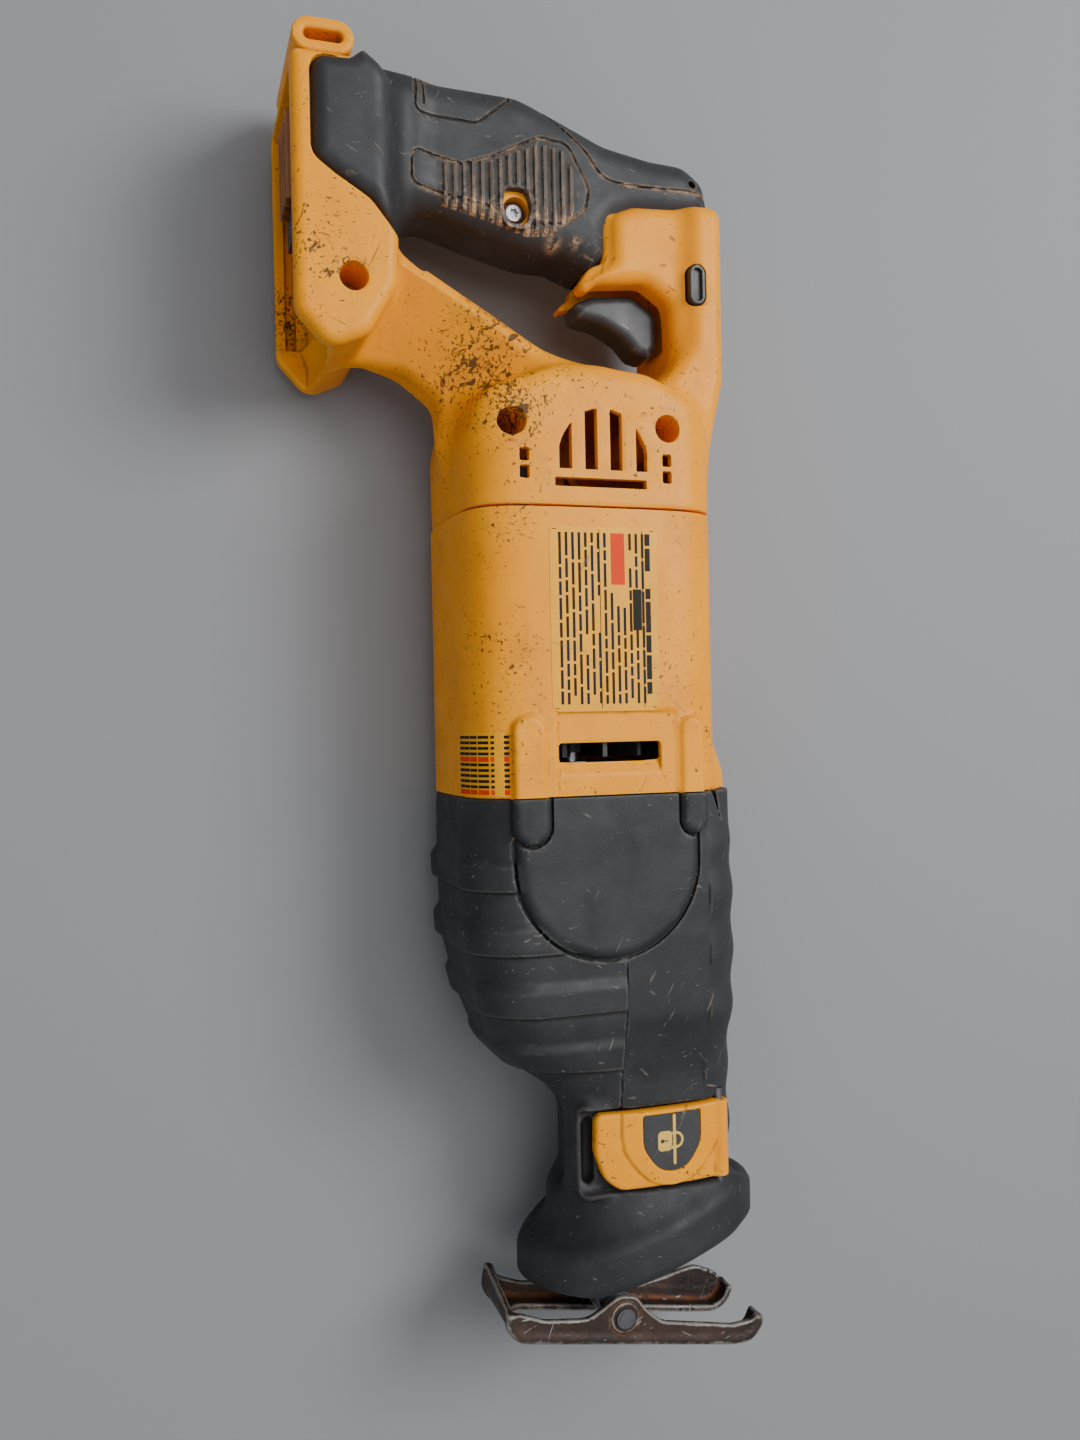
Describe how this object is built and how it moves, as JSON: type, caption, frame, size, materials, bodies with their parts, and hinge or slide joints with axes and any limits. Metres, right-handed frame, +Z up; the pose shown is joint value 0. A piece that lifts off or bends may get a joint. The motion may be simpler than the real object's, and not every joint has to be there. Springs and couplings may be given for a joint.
{
  "type": "cordless reciprocating saw",
  "caption": "Cordless reciprocating saw without battery or blade: D-handle with trigger, motor body, rubber nose boot with clamp lever, plunger and tilting slotted shoe.",
  "frame": {"origin": "centre of the bounding box at its base, where the tool rests on its left side", "axes": "+X forwards to the shoe, +Y towards the top of the tool, +Z up out of its right side"},
  "size_m": [0.4684, 0.171, 0.082],
  "materials": {
    "yellow_shell": "moulded, fine grain, scuffed",
    "black_rubber": "soft matte overmould, dusty",
    "screw_steel": "plated, dull",
    "trigger_plastic": "worn satin",
    "black_plastic": "moulded",
    "contact_brass": "tarnished",
    "motor_steel": "rolled",
    "magnet_iron": "matt ferrite",
    "bright_steel": "ground",
    "winding_copper": "lacquered copper",
    "cast_aluminium": "as cast",
    "gear_steel": "oiled, hardened",
    "bush_bronze": "sintered",
    "badge_plastic": "printed pictogram",
    "shoe_steel": "stamped steel, rusted"
  },
  "bodies": {
    "saw": {"brush_holder": "black_plastic", "brush_springs": "bright_steel", "brushes": "magnet_iron", "field_magnets": "magnet_iron", "foot_pad_left": "black_rubber", "foot_pad_right": "black_rubber", "front_bearing": "bright_steel", "gear_axle": "bright_steel", "gear_case_left": "cast_aluminium", "gear_case_right": "cast_aluminium", "gear_case_screws": "screw_steel", "grip_cover_left": "black_rubber", "grip_cover_right": "black_rubber", "handle_screws": "screw_steel", "handle_shell_left": "yellow_shell", "handle_shell_right": "yellow_shell", "lever_pin": "bright_steel", "motor_can": "motor_steel", "motor_housing": "yellow_shell", "nose_boot": "black_rubber", "plunger_bushes": "bush_bronze", "plunger_seal": "black_rubber", "rear_bearing": "bright_steel", "shoe_pivot_pin": "bright_steel", "shoe_post": "gear_steel", "switch_body": "black_plastic", "terminal_blades": "contact_brass", "terminal_block": "black_plastic"},
    "armature": {"armature_shaft": "bright_steel", "armature_core": "motor_steel", "armature_windings": "winding_copper", "commutator": "winding_copper", "cooling_fan": "black_plastic", "drive_pinion": "gear_steel"},
    "crank_gear": {"drive_gear": "gear_steel", "crank_roller": "bright_steel"},
    "plunger_set": {"plunger": "bright_steel", "blade_clamp": "gear_steel", "clamp_pin": "bright_steel"},
    "trigger": {"trigger": "trigger_plastic"},
    "lock_off": {"lock_off_button": "black_plastic"},
    "lever": {"clamp_lever": "yellow_shell", "lever_badge": "badge_plastic"},
    "shoe": {"shoe": "shoe_steel"}
  },
  "joints": [
    {"name": "armature_spin", "type": "hinge", "parent": "saw", "child": "armature", "pos_m": [0.00028, 0.016, 0.041], "axis": [1, 0, 0], "continuous": true},
    {"name": "crank_gear_spin", "type": "hinge", "parent": "saw", "child": "crank_gear", "pos_m": [0.04928, 0.016, 0.041], "axis": [0, 0, 1], "continuous": true},
    {"name": "plunger_stroke", "type": "slide", "parent": "saw", "child": "plunger_set", "axis": [1, 0, 0], "range_m": [-0.0143, 0.0143]},
    {"name": "trigger_pull", "type": "slide", "parent": "saw", "child": "trigger", "axis": [-0.9061, 0.423, 0], "range_m": [0, 0.0065], "stiffness_N_per_m": 900, "springref_m": -0.003},
    {"name": "lock_off_push", "type": "slide", "parent": "saw", "child": "lock_off", "axis": [0, 0, -1], "range_m": [0, 0.004]},
    {"name": "clamp_lever_lift", "type": "hinge", "parent": "saw", "child": "lever", "pos_m": [0.15228, 0.061, 0.0665], "axis": [-1, 0, 0], "range_deg": [0, 70], "stiffness_Nm_per_rad": 0.25, "springref_deg": -20.05},
    {"name": "shoe_tilt", "type": "hinge", "parent": "saw", "child": "shoe", "pos_m": [0.21628, 0.0265, 0.041], "axis": [0, 0, 1], "range_deg": [-8, 20]}
  ],
  "couplings": [
    {"joint": "crank_gear_spin", "follows": "armature_spin", "ratio": -0.225}
  ]
}
